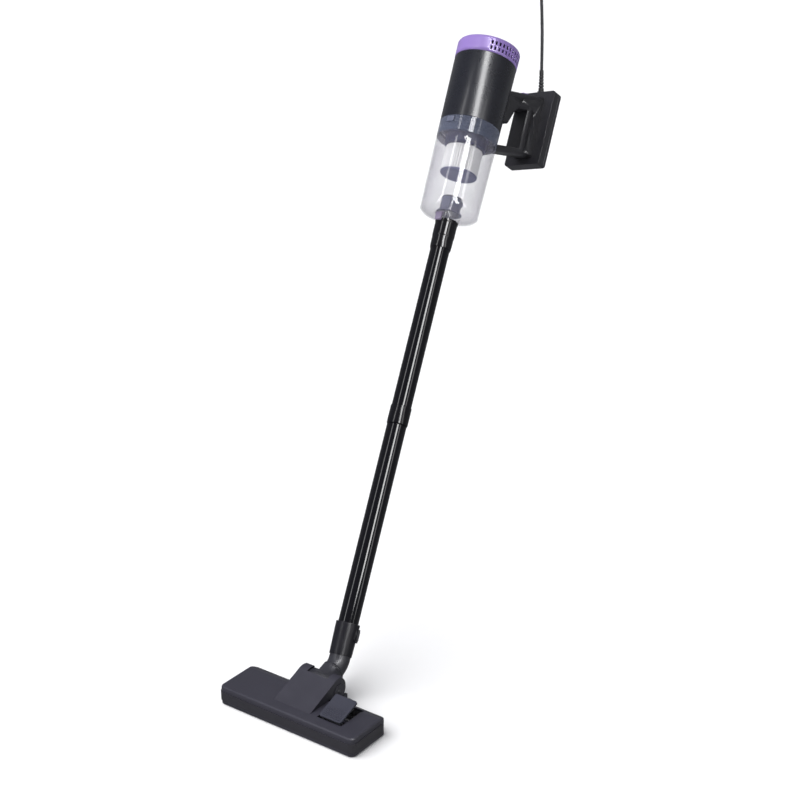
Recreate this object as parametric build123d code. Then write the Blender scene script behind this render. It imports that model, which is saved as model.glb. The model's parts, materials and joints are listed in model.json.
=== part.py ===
from build123d import *
import math
import os

# Corded upright stick vacuum with a D-handle, a clear dust cup, a two-part wand and a floor head.
# Millimetres, +Z up. The origin is the middle of the floor head's sole, on the floor. +X runs along
# the head's width, -Y is its front. The wand leans back over +Y, turned a little on its swivel.
# Local frames: STICK has +Z up the wand from the neck's bend and +X towards the handle.
# OUTLET has +Z along the swivel axis, out of the head's barrel.

# ---------------------------------------------------------------- fits
RUN = 0.08             # radial clearance of a shaft or sleeve that turns or slides in its seat
SEAT = 0.05            # clearance between two pieces fixed to each other
GAP = 0.4              # clearance between covers and whatever moves beside them

# ---------------------------------------------------------------- floor head
HEAD_W = 257.0
HEAD_D = 82.0
HEAD_TOP = 31.0        # height of the top face
HEAD_CORNER = 9.0
SPLIT_Z = 13.0         # where the two shells meet
WALL = 2.2
SOLE_T = 1.4
BUMPER_Z0, BUMPER_Z1 = 7.0, 22.0
BUMPER_OUT = 1.2
REAR_BEVEL_Y, REAR_BEVEL_Z = 15.0, 5.0
SLOT_W, SLOT_L, SLOT_Y = 14.0, 205.0, -15.0     # suction mouth in the sole
DUCT_T, DUCT_TOP = 1.6, 12.5                    # walls beside the mouth
BRUSH_L, BRUSH_W, BRUSH_Y = 214.0, 4.0, 33.0
BRUSH_DROP = 6.0
BRISTLE_H = 9.5
SOLE_SCREWS = [(x, y) for x in (14.0 - HEAD_W / 2, HEAD_W / 2 - 14.0) for y in (-8.0, 16.0)]

# ---------------------------------------------------------------- barrel, neck and swivel
PIVOT_Y, PIVOT_Z = 48.0, 34.0
BARREL_R, BARREL_W, BARREL_WALL = 21.0, 62.0, 2.5
PIN_R, PIN_L = 4.0, 5.0
HOOD_W = 70.0
HOOD_FRONT_Y = -22.0
SWIVEL_ELEV = 20.0     # swivel axis above level
SWIVEL_REST = -11.7    # how far the neck is turned about it at rest
NECK_BEND = 36.0
NECK_OUT = 45.0        # pivot to the bend, along the swivel axis
BEND_R = 32.0
OUTLET_R, OUTLET_END = 18.0, 29.0
NECK_R, NECK_BORE = 16.5, 13.0
COLLAR_Z0, COLLAR_Z1 = 14.0, 65.0
COLLAR_R0, COLLAR_R1 = 17.8, 19.0

# ---------------------------------------------------------------- pedal, wheels
PEDAL_X, PEDAL_W = 70.0, 40.0
PEDAL_Y0, PEDAL_Y1 = -20.0, 22.0
PEDAL_T = 3.0
PEDAL_TILT = 20.0
PEDAL_PIVOT_Y, PEDAL_PIVOT_Z = -11.0, 26.5
PEDAL_RISE = 7.5       # plate's underside above the pedal's pin
LEG_Y, LEG_FOOT_Z = 24.0, 24.9                  # pedal's leg: its distance behind the pin, and its foot
WHEEL_R, WHEEL_W, AXLE_R = 9.0, 7.0, 1.75
WHEEL_X, WHEEL_Y = 42.0, 60.0

# ---------------------------------------------------------------- wand
TUBE_R, TUBE_WALL = 16.0, 1.0
SOCKET = 40.0          # how far one tube reaches into the next piece
LOWER_TOP = 387.0      # where the two wand tubes meet
SLEEVE_L, SLEEVE_WALL = 30.0, 1.1
CONNECTOR_Z0, CONNECTOR_Z1 = 688.0, 737.0
CONNECTOR_R = 18.4

# ---------------------------------------------------------------- handheld
CUP_Z0 = 748.0
COLLAR_BAND_Z0, COLLAR_BAND_Z1 = 879.0, 905.0
HOUSING_Z1 = 1022.0
CAP_Z1 = 1051.0
BODY_R0, BODY_R1 = 48.5, 53.3        # outer radius at the cup's floor and at the cap's top
CUP_WALL, HOUSING_WALL = 1.8, 2.4
INLET_R, INLET_WALL, INLET_TOP = 17.2, 1.4, 776.0
FILTER_R, FILTER_Z0, FILTER_Z1 = 31.0, 822.0, 868.0
HOLDER_R = 35.0
VENT_W, VENT_H, VENT_PITCH, VENT_SPAN = 3.4, 6.4, 7.5, 135.0
VENT_ROWS = (1030.0, 1039.5)

# ---------------------------------------------------------------- handle
GRIP_W = 35.0
ARM_SLOPE = 19.5
ARM_H, ARM_Z = 30.0, 985.0           # upper arm's height, and its middle at the housing
LOWER_H, LOWER_Z = 13.0, 885.0
GRIP_X0, BOX_X0 = 118.0, 151.0       # front of the grip, and front of the rear box
BOX_W, BOX_H, BOX_T, BOX_Z = 74.0, 139.0, 21.5, 977.0
BOX_SPLIT = 14.0
HANDLE_WALL = 2.6
SWITCH_L, SWITCH_W, SWITCH_TRAVEL = 16.0, 10.0, 4.0

# ---------------------------------------------------------------- mains lead
LEAD_R = 2.7
RELIEF_L, RELIEF_R0, RELIEF_R1 = 42.0, 5.2, 3.6
# Route of the taut lead above the strain relief: steps in X, Y and Z from its tip to the plug.
LEAD_STEPS = ((0.0, 0.0, 0.0), (-0.6, 0.3, 44.0), (-2.4, 0.2, 88.0),
              (-5.2, -0.6, 132.0), (-8.2, -0.9, 168.0))
PLUG_R, PLUG_L = 14.0, 38.0
RELIEF_X = BOX_X0 + BOX_T / 2 - 1.5


def body_r(z):
    """Outer radius of the handheld's tapered barrel at height z."""
    return BODY_R0 + (BODY_R1 - BODY_R0) * (z - CUP_Z0) / (CAP_Z1 - CUP_Z0)


# ---------------------------------------------------------------- local frames
def about(direction, axis, degrees):
    return direction.rotate(Axis((0, 0, 0), axis), degrees)


E = math.radians(SWIVEL_ELEV)
W = math.radians(SWIVEL_ELEV + NECK_BEND)
pivot = Vector(0, PIVOT_Y, PIVOT_Z)
swivel_dir = Vector(0, math.cos(E), math.sin(E))
side_dir = about(Vector(-1, 0, 0), swivel_dir, SWIVEL_REST)
stick_dir = about(Vector(0, math.cos(W), math.sin(W)), swivel_dir, SWIVEL_REST)
handle_dir = about(Vector(0, math.sin(W), -math.cos(W)), swivel_dir, SWIVEL_REST)
bend_point = pivot + swivel_dir * NECK_OUT
OUTLET = Plane(origin=pivot, x_dir=side_dir, z_dir=swivel_dir).location
STICK = Plane(origin=bend_point, x_dir=handle_dir, z_dir=stick_dir).location

os.makedirs("parts", exist_ok=True)


def save(name, shape, frame=None):
    export_step(frame * shape if frame else shape, f"parts/{name}.step")


# ---------------------------------------------------------------- small builders
def lathe(points):
    """A closed outline of (radius, height) points turned about Z."""
    return revolve(Plane.XZ * make_face(Polyline(*points, close=True)), Axis.Z)


def tube(r_out, r_in, z0, z1):
    return lathe([(r_in, z0), (r_out, z0), (r_out, z1), (r_in, z1)])


def rod(r, z0, z1):
    return Pos(0, 0, (z0 + z1) / 2) * Cylinder(r, z1 - z0)


def box(x0, x1, y0, y1, z0, z1):
    return Pos((x0 + x1) / 2, (y0 + y1) / 2, (z0 + z1) / 2) * Box(x1 - x0, y1 - y0, z1 - z0)


def x_rod(r, x0, x1, y, z):
    return Pos((x0 + x1) / 2, y, z) * Rot(0, 90, 0) * Cylinder(r, x1 - x0)


def plan(width, depth, corner, z0, z1):
    """An upright block with rounded corners in plan."""
    return Pos(0, 0, z0) * extrude(RectangleRounded(width, depth, corner), z1 - z0)


def side_profile(points, x0, x1):
    """A closed outline of (y, z) points carried from x0 to x1."""
    face = make_face(Polyline(*[(x0, y, z) for y, z in points], close=True))
    return extrude(face, x1 - x0, dir=(1, 0, 0))


# ================================================================ floor head
def hood_line(r):
    """Tangent from the hood's front foot to a circle of radius r about the pivot: (y,
                                                                                    z) where it lands."""
    dy, dz = PIVOT_Y - HOOD_FRONT_Y, PIVOT_Z - HEAD_TOP
    rise = math.atan2(dz, dy) + math.asin(r / math.hypot(dy, dz))
    return PIVOT_Y - r * math.sin(rise), PIVOT_Z + r * math.cos(rise)


HOOD_R = BARREL_R + GAP + WALL
BAY_X = HOOD_W / 2
PEDAL_X0, PEDAL_X1 = PEDAL_X - PEDAL_W / 2, PEDAL_X + PEDAL_W / 2
hood_y, hood_z = hood_line(HOOD_R)

CHEEK_T, CHEEK_R = 4.6, 13.0      # plates behind the head that carry the barrel's pins
CHEEK_Y = HEAD_D / 2 - 6          # where they start


def cheek(x0, x1):
    """Side plate that carries the barrel's pin and, on its tail, the wheel's arm."""
    block = box(x0, x1, CHEEK_Y, PIVOT_Y, WHEEL_R, PIVOT_Z) + x_rod(CHEEK_R, x0, x1, PIVOT_Y, PIVOT_Z)
    tail = box(x0, x1, CHEEK_Y, WHEEL_Y + WHEEL_R - 2, WHEEL_R - 1, PIVOT_Z - 12)
    return block + tail


# lower shell: floor and walls up to the split, open where the mouth and the brushes pass
base = plan(HEAD_W, HEAD_D, HEAD_CORNER, SOLE_T + SEAT, SPLIT_Z)
base -= plan(HEAD_W - 2 * WALL, HEAD_D - 2 * WALL, HEAD_CORNER - WALL, SOLE_T + SEAT + WALL, SPLIT_Z + 1)
base -= box(-SLOT_L / 2, SLOT_L / 2, SLOT_Y - SLOT_W / 2, SLOT_Y + SLOT_W / 2, 0, SPLIT_Z)
for y in (-BRUSH_Y, BRUSH_Y):
    base -= box(-BRUSH_L / 2 - 1, BRUSH_L / 2 + 1, y - BRUSH_W / 2 - 1, y + BRUSH_W / 2 + 1, 0, SPLIT_Z)
duct_y = SLOT_Y + SLOT_W / 2 + 1
for y in (duct_y, 2 * SLOT_Y - duct_y - DUCT_T):
    base += box(-SLOT_L / 2, SLOT_L / 2, y, y + DUCT_T, SOLE_T + WALL - 0.5, DUCT_TOP)
pin_x = BARREL_W / 2 + GAP
for side in (-1, 1):
    base += cheek(*sorted((side * pin_x, side * (pin_x + CHEEK_T))))
base -= x_rod(PIN_R + RUN, -HOOD_W, HOOD_W, PIVOT_Y, PIVOT_Z)
base -= x_rod(BARREL_R + GAP, -BARREL_W / 2 - GAP, BARREL_W / 2 + GAP, PIVOT_Y, PIVOT_Z)
for side in (-1, 1):
    arm = sorted((side * (pin_x + CHEEK_T), side * (WHEEL_X - WHEEL_W / 2 - GAP)))
    base += box(*arm, PIVOT_Y - 6, WHEEL_Y + 4, WHEEL_R - 3, WHEEL_R + 4)
base -= x_rod(AXLE_R + SEAT, -HEAD_W, HEAD_W, WHEEL_Y, WHEEL_R)
for x, y in SOLE_SCREWS:
    base += Pos(x, y, (SOLE_T + 11) / 2 + 1) * Cylinder(3.4, 9 - SOLE_T)
    base -= Pos(x, y, 4) * Cylinder(1.2 + SEAT, 8)
save("head_lower_shell", base)

# upper shell
top = plan(HEAD_W, HEAD_D, HEAD_CORNER, SPLIT_Z + SEAT, HEAD_TOP)
front_edges = top.faces().sort_by(Axis.Z)[-1].edges()
top = fillet(front_edges, 3.5)
bevel = side_profile([(HEAD_D / 2 - REAR_BEVEL_Y, HEAD_TOP), (HEAD_D, HEAD_TOP + 9),
                      (HEAD_D, HEAD_TOP - REAR_BEVEL_Z), (HEAD_D / 2, HEAD_TOP - REAR_BEVEL_Z)],
                      -HEAD_W, HEAD_W)
top -= bevel
hollow = plan(HEAD_W - 2 * WALL, HEAD_D - 2 * WALL, HEAD_CORNER - WALL, SPLIT_Z - 1, HEAD_TOP - WALL)
bevel_in = HEAD_TOP - REAR_BEVEL_Z - WALL
hollow -= side_profile([(HEAD_D / 2 - REAR_BEVEL_Y - WALL, HEAD_TOP - WALL), (HEAD_D, HEAD_TOP + 9),
                        (HEAD_D, bevel_in), (HEAD_D / 2 - WALL, bevel_in)], -HEAD_W, HEAD_W)
top -= hollow
top -= box(-pin_x - 6, pin_x + 6, PIVOT_Y - HOOD_R - 3, HEAD_D, SPLIT_Z - 1, HEAD_TOP + 1)
WELL_GAP, WELL_BOSS = 2.5, 4.0      # room beside the pedal, and the width of each boss for its pin
top -= box(PEDAL_X0 - WELL_GAP, PEDAL_X1 + WELL_GAP, PEDAL_Y0 - 1.6, CHEEK_Y, SPLIT_Z, HEAD_TOP + 1)
for side in (-1, 1):
    inner = PEDAL_X + side * (PEDAL_W / 2 + WELL_GAP)
    top += box(*sorted((inner, inner + side * WELL_BOSS)), PEDAL_PIVOT_Y - 4, PEDAL_PIVOT_Y + 4,
               PEDAL_PIVOT_Z - 4, HEAD_TOP - WALL + 0.5)
top -= x_rod(AXLE_R + SEAT, PEDAL_X0 - 6, PEDAL_X1 + 6, PEDAL_PIVOT_Y, PEDAL_PIVOT_Z)
save("head_upper_shell", top)

# hood over the barrel: a ramp that rises from the top face and rolls over the barrel
ramp = side_profile([(HOOD_FRONT_Y, HEAD_TOP + SEAT), (hood_y, hood_z), (PIVOT_Y, HEAD_TOP + SEAT)],
                    -BAY_X, BAY_X)
roll = x_rod(HOOD_R, -BAY_X, BAY_X, PIVOT_Y, PIVOT_Z)
roll -= box(-HEAD_W, HEAD_W, -HEAD_D, 2 * HEAD_D, 0, HEAD_TOP + SEAT)
HOOD_BACK = math.radians(66)       # the roll ends at this angle above level, seen from the pivot
hood_back = side_profile([(PIVOT_Y, PIVOT_Z),
                          (PIVOT_Y + 40 * math.cos(HOOD_BACK), PIVOT_Z + 40 * math.sin(HOOD_BACK)),
                          (PIVOT_Y + 60, PIVOT_Z), (PIVOT_Y + 60, 0), (PIVOT_Y, 0)], -HEAD_W, HEAD_W)
hood = ramp + (roll - hood_back)
barrel_room = x_rod(BARREL_R + GAP, -BAY_X + WALL, BAY_X - WALL, PIVOT_Y, PIVOT_Z)
inner_y, inner_z = hood_line(BARREL_R + GAP)
under = side_profile([(HOOD_FRONT_Y + 14, HEAD_TOP - 1), (HOOD_FRONT_Y + 14, HEAD_TOP + 3.2),
                      (inner_y, inner_z - 0.6), (PIVOT_Y, PIVOT_Z), (PIVOT_Y, HEAD_TOP - 1)],
                     -BAY_X + WALL, BAY_X - WALL)
cheek_room = x_rod(CHEEK_R + GAP, -BAY_X - 1, BAY_X + 1, PIVOT_Y, PIVOT_Z)
cheek_room += box(-BAY_X - 1, BAY_X + 1, CHEEK_Y - GAP, PIVOT_Y, 0, PIVOT_Z)
SLOT_FRONT = 9.0                   # the outlet's slot starts this far in front of the pivot
outlet_slot = box(-OUTLET_R - 1.5, OUTLET_R + 1.5, PIVOT_Y - SLOT_FRONT, PIVOT_Y + 40, PIVOT_Z,
                  HEAD_TOP * 3)
hood = hood - barrel_room - under - outlet_slot - cheek_room
save("head_hood", hood)

# sole plate, the steel skid with the mouth and the two brush slots
sole = plan(HEAD_W - 3, HEAD_D - 3, HEAD_CORNER - 1.5, 0, SOLE_T)
sole -= box(-SLOT_L / 2, SLOT_L / 2, SLOT_Y - SLOT_W / 2, SLOT_Y + SLOT_W / 2, -1, SOLE_T + 1)
for y in (-BRUSH_Y, BRUSH_Y):
    sole -= box(-BRUSH_L / 2 - 1, BRUSH_L / 2 + 1, y - BRUSH_W / 2 - 1, y + BRUSH_W / 2 + 1, -1,
                SOLE_T + 1)
for x, y in SOLE_SCREWS:
    sole -= Pos(x, y, 0) * Cylinder(2.6 + SEAT, 5)
save("sole_plate", sole)

# soft bumper round the front and the ends
bumper = plan(HEAD_W + 2 * BUMPER_OUT, HEAD_D + 2 * BUMPER_OUT, HEAD_CORNER + BUMPER_OUT, BUMPER_Z0,
              BUMPER_Z1)
bumper -= plan(HEAD_W + 2 * SEAT, HEAD_D + 2 * SEAT, HEAD_CORNER, 0, HEAD_TOP)
bumper -= box(-HEAD_W, HEAD_W, HEAD_D / 2 - 12, HEAD_D, 0, HEAD_TOP)
save("bumper_strip", bumper)

# pedal: a rocker that leans up at the back, its pin held in two bosses under the top face
lean = math.radians(PEDAL_TILT)
pedal_at = Location((PEDAL_X, PEDAL_PIVOT_Y, PEDAL_PIVOT_Z), (PEDAL_TILT, 0, 0))
shift = (PEDAL_RISE + PEDAL_T) * math.sin(lean)       # the raised plate swings this far forward
pedal_front = (PEDAL_Y0 - PEDAL_PIVOT_Y + shift) / math.cos(lean)
pedal_back = (PEDAL_Y1 - PEDAL_PIVOT_Y + shift) / math.cos(lean)
pedal = box(-PEDAL_W / 2, PEDAL_W / 2, pedal_front, pedal_back, PEDAL_RISE, PEDAL_RISE + PEDAL_T)
pedal = fillet(pedal.edges().filter_by(Axis.Z), 3)
PEDAL_RIBS, RIB_PITCH, RIB_W, RIB_H = 6, 3.2, 1.2, 0.7
for n in range(PEDAL_RIBS):
    y = pedal_front + 3.5 + n * RIB_PITCH
    pedal += box(-PEDAL_W / 2 + 4, PEDAL_W / 2 - 4, y, y + RIB_W,
                 PEDAL_RISE + PEDAL_T - 0.1, PEDAL_RISE + PEDAL_T + RIB_H)
for side in (-1, 1):
    lug = side * (PEDAL_W / 2 - 4)
    pedal += box(lug - 1.5, lug + 1.5, -3.6, 3.6, -3.6, PEDAL_RISE + 0.1)
pedal = pedal_at * (pedal - Rot(0, 90, 0) * Cylinder(AXLE_R + RUN, PEDAL_W + 1))
leg_y = PEDAL_PIVOT_Y + LEG_Y
leg_top = PEDAL_PIVOT_Z + PEDAL_RISE / math.cos(lean) + LEG_Y * math.tan(lean) + 1
pedal += box(PEDAL_X - 1.5, PEDAL_X + 1.5, leg_y - 3, leg_y + 3, LEG_FOOT_Z, leg_top)
save("pedal", pedal)
save("pedal_pin", x_rod(AXLE_R, PEDAL_X0 - 5.5, PEDAL_X1 + 5.5, PEDAL_PIVOT_Y, PEDAL_PIVOT_Z))

# brush carrier under the shells: one frame, two bristle rows that pass down through the sole
carrier_z0 = SOLE_T + WALL + 1.0 + BRUSH_DROP
carrier_z1 = carrier_z0 + 2.6
row_in, row_out = BRUSH_Y - BRUSH_W / 2, BRUSH_Y + BRUSH_W / 2
carrier = box(-BRUSH_L / 2, BRUSH_L / 2, -row_out, row_out, carrier_z0, carrier_z1)
carrier -= box(-BRUSH_L / 2 + 4, BRUSH_L / 2 - 4, 2 - row_in, row_in - 2, 0, HEAD_TOP)
carrier -= box(-pin_x - 6 - GAP, pin_x + 6 + GAP, CHEEK_Y - GAP, HEAD_D, 0, HEAD_TOP)
carrier -= x_rod(BARREL_R + GAP, -pin_x, pin_x, PIVOT_Y, PIVOT_Z)
anvil_z = LEG_FOOT_Z - GAP          # top of the post that the pedal's leg presses on
carrier += box(PEDAL_X - 4, PEDAL_X + 4, row_in, row_out, carrier_z0, anvil_z)
carrier += box(PEDAL_X - 4, PEDAL_X + 4, leg_y - 3, row_out, anvil_z - 2.4, anvil_z)
save("brush_carrier", carrier)
rows = []
for y in (-BRUSH_Y, BRUSH_Y):
    rows.append(box(-BRUSH_L / 2 + 1, BRUSH_L / 2 - 1, y - BRUSH_W / 2 + 0.4, y + BRUSH_W / 2 - 0.4,
                    carrier_z0 - BRISTLE_H, carrier_z0))
save("brush_strips", Compound(children=rows))

# rear wheels, on one short axle each
for side, name in ((-1, "left"), (1, "right")):
    wheel = x_rod(WHEEL_R, side * WHEEL_X - WHEEL_W / 2, side * WHEEL_X + WHEEL_W / 2, WHEEL_Y, WHEEL_R)
    wheel = fillet(wheel.edges(), 1.2)
    wheel -= x_rod(AXLE_R + RUN, side * WHEEL_X - WHEEL_W, side * WHEEL_X + WHEEL_W, WHEEL_Y, WHEEL_R)
    save(f"wheel_{name}", wheel)
axles = []
for side in (-1, 1):
    ends = sorted((side * (pin_x + 0.6), side * (WHEEL_X + WHEEL_W / 2 + 1.6)))
    axle = x_rod(AXLE_R, *ends, WHEEL_Y, WHEEL_R)
    head = sorted((side * (WHEEL_X + WHEEL_W / 2 + GAP), side * (WHEEL_X + WHEEL_W / 2 + 1.6)))
    axles.append(axle + x_rod(AXLE_R + 1.5, *head, WHEEL_Y, WHEEL_R))
save("wheel_axles", Compound(children=axles))

# ================================================================ barrel, neck and collar
barrel = x_rod(BARREL_R, -BARREL_W / 2, BARREL_W / 2, PIVOT_Y, PIVOT_Z)
outlet = OUTLET * rod(OUTLET_R, 0, OUTLET_END)
barrel += outlet
barrel -= x_rod(BARREL_R - BARREL_WALL, -BARREL_W / 2 + BARREL_WALL, BARREL_W / 2 - BARREL_WALL,
                PIVOT_Y, PIVOT_Z)
barrel -= OUTLET * rod(NECK_R + RUN, BARREL_R - 6, OUTLET_END + 1)
barrel -= OUTLET * rod(NECK_R - 1.5, 0, BARREL_R)
window = side_profile([(PIVOT_Y, PIVOT_Z), (PIVOT_Y - 40, PIVOT_Z - 2), (PIVOT_Y - 40, PIVOT_Z - 26)],
                      -BARREL_W / 2 + 6, BARREL_W / 2 - 6)
barrel -= window
for side in (-1, 1):
    ends = sorted((side * (BARREL_W / 2 - 1), side * (BARREL_W / 2 + PIN_L)))
    barrel += x_rod(PIN_R, *ends, PIVOT_Y, PIVOT_Z)
save("pitch_barrel", barrel)

# neck elbow: a straight spigot in the barrel, a flange, then the bend up to the wand's line
reach = BEND_R * math.tan(math.radians(NECK_BEND / 2))
spigot = tube(NECK_R, NECK_BORE, BARREL_R - 5, NECK_OUT - reach)
flange = tube(OUTLET_R, NECK_R - 0.5, OUTLET_END + GAP, OUTLET_END + GAP + 3)
elbow = OUTLET * (spigot + flange)
bend_start, bend_end = pivot + swivel_dir * (NECK_OUT - reach), bend_point + stick_dir * reach
bend_path = TangentArc(bend_start, bend_end, tangent=swivel_dir)
elbow += sweep(Plane(origin=bend_start, x_dir=side_dir,
                     z_dir=swivel_dir) * (Circle(NECK_R) - Circle(NECK_BORE)),
               path=bend_path)
elbow += STICK * tube(NECK_R, NECK_BORE, reach, COLLAR_Z0 + 4)
save("neck_elbow", elbow)

SOCKET_Z0 = COLLAR_Z1 - SOCKET
collar = lathe([(NECK_R + SEAT, COLLAR_Z0), (COLLAR_R0, COLLAR_Z0), (COLLAR_R0 + 0.3, SOCKET_Z0),
                (COLLAR_R1, COLLAR_Z1 - 6), (COLLAR_R1, COLLAR_Z1), (TUBE_R + RUN, COLLAR_Z1),
                (TUBE_R + RUN, SOCKET_Z0), (NECK_BORE, SOCKET_Z0), (NECK_BORE, COLLAR_Z0 + 4 + SEAT),
                (NECK_R + SEAT, COLLAR_Z0 + 4 + SEAT)])
BUTTON_Z, BUTTON_W, BUTTON_H, BUTTON_TRAVEL = 48.0, 9.0, 14.0, 1.6
neck_button_at = Rot(0, 0, -62) * Pos(0, 0, BUTTON_Z) * Rot(0, 90, 0)     # its +Z points out of the collar
well_depth = TUBE_R + 0.9
collar -= neck_button_at * Pos(0, 0, well_depth + 5) * Box(BUTTON_H + 2 * GAP, BUTTON_W + 2 * GAP, 10)
collar += neck_button_at * Pos(0, 0, COLLAR_R1 - 0.5) * (Box(BUTTON_H + 7, BUTTON_W + 6, 3) - Box(
    BUTTON_H + 2 * GAP, BUTTON_W + 2 * GAP, 3))
collar -= rod(TUBE_R + RUN, SOCKET_Z0, COLLAR_Z1 + 1)
save("neck_collar", collar, STICK)
button = neck_button_at * Pos(0, 0, well_depth + BUTTON_TRAVEL + GAP + 1.2) * Box(BUTTON_H, BUTTON_W, 2.4)
save("neck_button", fillet(button.edges().filter_by(lambda e: e.length < 3), 0.8), STICK)

# ================================================================ wand
sleeve_r = TUBE_R + SLEEVE_WALL
spigot_r = TUBE_R - TUBE_WALL - RUN
lower = tube(TUBE_R, TUBE_R - TUBE_WALL, SOCKET_Z0 + GAP, LOWER_TOP)
lower += lathe([(spigot_r - TUBE_WALL, LOWER_TOP - 3), (TUBE_R - 0.2, LOWER_TOP - 3), (TUBE_R - 0.2,
                                                                                       LOWER_TOP - 1),
                (spigot_r, LOWER_TOP), (spigot_r, LOWER_TOP + SOCKET), (spigot_r - TUBE_WALL,
                                                                        LOWER_TOP + SOCKET)])
save("wand_lower_tube", lower, STICK)
save("wand_upper_tube", tube(TUBE_R, TUBE_R - TUBE_WALL, LOWER_TOP + GAP, CONNECTOR_Z0 + SOCKET / 2),
     STICK)
sleeve = lathe([(TUBE_R + SEAT, LOWER_TOP + GAP), (sleeve_r - 0.4, LOWER_TOP + GAP), (sleeve_r,
                                                                                      LOWER_TOP + 2),
                (sleeve_r, LOWER_TOP + SLEEVE_L - 2), (sleeve_r - 0.4, LOWER_TOP + SLEEVE_L),
                (TUBE_R + SEAT, LOWER_TOP + SLEEVE_L)])
save("wand_joint_sleeve", sleeve, STICK)

# connector: fixed on the upper tube, its top end is the socket for the cup's spigot
CONNECTOR_STOP = CONNECTOR_Z0 + SOCKET / 2
SPIGOT_R = 16.2
connector = lathe([(TUBE_R + SEAT, CONNECTOR_Z0), (TUBE_R + 1.2, CONNECTOR_Z0), (CONNECTOR_R - 0.6,
                                                                                 CONNECTOR_Z0 + 9),
                   (CONNECTOR_R - 0.6, CONNECTOR_STOP), (CONNECTOR_R, CONNECTOR_STOP + 1.5),
                   (CONNECTOR_R, CONNECTOR_Z1 - 5), (CONNECTOR_R + 0.7, CONNECTOR_Z1 - 4),
                   (CONNECTOR_R + 0.7, CONNECTOR_Z1), (SPIGOT_R + RUN, CONNECTOR_Z1),
                   (SPIGOT_R + RUN, CONNECTOR_STOP + 2), (TUBE_R - TUBE_WALL, CONNECTOR_STOP + 2),
                   (TUBE_R - TUBE_WALL, CONNECTOR_STOP + GAP), (TUBE_R + SEAT, CONNECTOR_STOP + GAP)])
save("wand_connector", connector, STICK)

# ================================================================ dust cup
cup_r0, cup_r1 = body_r(CUP_Z0), body_r(COLLAR_BAND_Z0)
CUP_TOP = COLLAR_BAND_Z0 - GAP
CUP_LIP = 9.0          # the rim reaches this far up inside the collar band
cup = lathe([(SPIGOT_R - 1.6, CUP_Z0 - 22), (SPIGOT_R, CUP_Z0 - 22), (SPIGOT_R, CUP_Z0 - 8),
             (INLET_R + 3.2, CUP_Z0 - 8), (INLET_R + 3.2, CUP_Z0), (cup_r0 - 3, CUP_Z0), (cup_r0,
                                                                                          CUP_Z0 + 3),
             (cup_r1, CUP_TOP), (cup_r1 - CUP_WALL - 0.6, CUP_TOP), (cup_r1 - CUP_WALL - 0.6,
                                                                     CUP_TOP + CUP_LIP),
             (cup_r1 - 2 * CUP_WALL - 0.6, CUP_TOP + CUP_LIP), (cup_r1 - 2 * CUP_WALL - 0.6, CUP_TOP - 2),
             (body_r(CUP_TOP - 6) - CUP_WALL, CUP_TOP - 6), (cup_r0 - CUP_WALL, CUP_Z0 + 4.5),
             (cup_r0 - CUP_WALL - 2.5, CUP_Z0 + 2), (SPIGOT_R - 1.6, CUP_Z0 + 2)])
inlet = lathe([(INLET_R - INLET_WALL, CUP_Z0 + 2 + SEAT), (INLET_R + 4, CUP_Z0 + 2 + SEAT),
               (INLET_R + 4, CUP_Z0 + 4),
               (INLET_R, CUP_Z0 + 5), (INLET_R, INLET_TOP), (INLET_R - INLET_WALL, INLET_TOP)])
save("inlet_pipe", inlet, STICK)

# non-return flap on the inlet pipe, hinged at the handle side
FLAP_T, FLAP_HINGE_X = 1.4, INLET_R + 1.6
flap = rod(INLET_R, INLET_TOP + GAP, INLET_TOP + GAP + FLAP_T)
flap += box(INLET_R - 5, FLAP_HINGE_X, -5, 5, INLET_TOP + GAP, INLET_TOP + GAP + FLAP_T)
flap += Pos(FLAP_HINGE_X, 0, INLET_TOP + GAP + FLAP_T / 2) * Rot(90, 0, 0) * Cylinder(1.6, 10)
save("inlet_flap", flap, STICK)
flap_seat = box(INLET_R - 0.6, FLAP_HINGE_X + 1.4, -8, 8, INLET_TOP - 6, INLET_TOP - 1.6)
flap_seat -= rod(INLET_R + SEAT, INLET_TOP - 7, INLET_TOP)
for side in (-1, 1):
    flap_seat += box(FLAP_HINGE_X - 1.4, FLAP_HINGE_X + 1.4, *sorted((side * 5.4, side * 8)),
                     INLET_TOP - 2,
                     INLET_TOP + GAP + FLAP_T / 2 + 1.4)
save("flap_bracket", flap_seat, STICK)

# wand release tab on the cup's socket, opposite the handle
TAB_Z, TAB_X = CUP_Z0 - 4.0, -(INLET_R + 3.2 + GAP)
TAB_T, TAB_W, TAB_DROP = 3.4, 12.0, 12.0
TAB_PIN_R, TAB_EAR = 1.1, 2.2         # hinge pin, and the cup's two ears that hold it
tab_hinge_x = TAB_X - TAB_T / 2
tab_foot = box(TAB_X - TAB_T, TAB_X, -TAB_W / 2, TAB_W / 2, TAB_Z - TAB_DROP, TAB_Z)
tab = fillet(tab_foot.edges().filter_by(Axis.X).group_by(Axis.Z)[0], 2.0)
tab += Pos(tab_hinge_x, 0, TAB_Z) * Rot(90, 0, 0) * Cylinder(TAB_T / 2, TAB_W)
tab += Pos(tab_hinge_x, 0, TAB_Z) * Rot(90, 0, 0) * Cylinder(TAB_PIN_R, TAB_W + 2 * GAP + 2 * TAB_EAR)
tab += box(TAB_X - 0.1, -(CONNECTOR_R + 0.7 + GAP), -4, 4, TAB_Z - TAB_DROP,
           TAB_Z - TAB_DROP + 1.5)
save("wand_release_tab", tab, STICK)
for side in (-1, 1):
    ear = sorted((side * (TAB_W / 2 + GAP), side * (TAB_W / 2 + GAP + TAB_EAR)))
    cup += box(TAB_X - TAB_T - 0.6, -INLET_R, *ear, TAB_Z - 3, TAB_Z + 3)
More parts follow.
